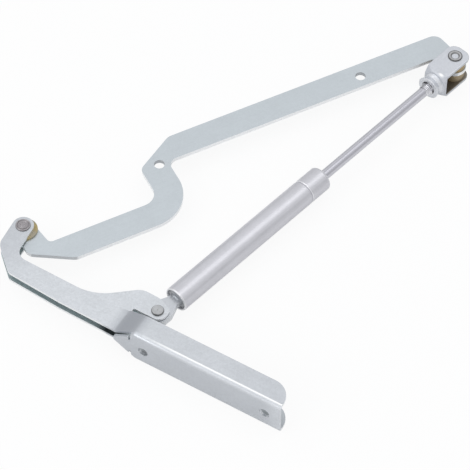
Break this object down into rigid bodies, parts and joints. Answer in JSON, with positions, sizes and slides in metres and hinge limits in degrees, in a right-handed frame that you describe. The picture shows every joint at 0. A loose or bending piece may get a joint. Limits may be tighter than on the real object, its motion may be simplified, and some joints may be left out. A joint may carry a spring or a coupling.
{
  "type": "lid support",
  "caption": "Lid support: folded steel bracket, cranked flat lid arm and a gas strut that pushes the arm open.",
  "frame": {"origin": "midway between the two screw holes of the bracket's web, on its outer face, in the mid-plane of the fitting", "axes": "+X along the web towards its free end, +Y away from the web's outer face, +Z along the hinge axes"},
  "size_m": [0.1949, 0.2849, 0.0232],
  "materials": {
    "bracket_zinc": "satin",
    "arm_zinc": "satin",
    "fork_zinc": "satin",
    "rivet_steel": "satin",
    "bush_brass": "satin",
    "rod_chrome": "polished",
    "tube_silver": "satin",
    "inner_aluminium": "satin",
    "inner_plastic": "matte",
    "seal_rubber": "matte"
  },
  "bodies": {
    "bracket": {"hinge_bracket": "bracket_zinc", "pivot_rivet": "rivet_steel", "strut_rivet": "rivet_steel"},
    "arm": {"lid_arm": "arm_zinc", "pivot_bush": "bush_brass", "pivot_washers": "bush_brass", "tip_spacers": "bush_brass"},
    "rod": {"clevis": "fork_zinc", "clevis_rivet": "rivet_steel", "rod_nut": "rivet_steel", "piston_rod": "rod_chrome", "piston": "inner_aluminium", "piston_ring": "inner_plastic", "piston_nut": "rivet_steel"},
    "cylinder": {"strut_tube": "tube_silver", "rod_guide": "inner_plastic", "rod_seal": "seal_rubber", "seal_washer": "inner_plastic", "end_plug": "inner_aluminium", "strut_eye": "fork_zinc", "eye_bush": "bush_brass", "strut_pin": "rivet_steel"}
  },
  "joints": [
    {"name": "lid_arm_pivot", "type": "hinge", "parent": "bracket", "child": "arm", "pos_m": [-0.1408, 0.0362, 0], "axis": [0, 0, 1], "range_deg": [-45, 0], "stiffness_Nm_per_rad": 0.6, "springref_deg": 68.75},
    {"name": "fork_pivot", "type": "hinge", "parent": "arm", "child": "rod", "pos_m": [0.00779, 0.27022, 0], "axis": [0, 0, 1], "range_deg": [-10.7, 0]},
    {"name": "rod_slide", "type": "slide", "parent": "rod", "child": "cylinder", "axis": [0.2091, 0.9779, 0], "range_m": [0, 0.0623]}
  ],
  "couplings": [
    {"joint": "fork_pivot", "follows": "lid_arm_pivot", "ratio": 0.23684},
    {"joint": "rod_slide", "follows": "lid_arm_pivot", "m_per_rad": -0.079139}
  ]
}
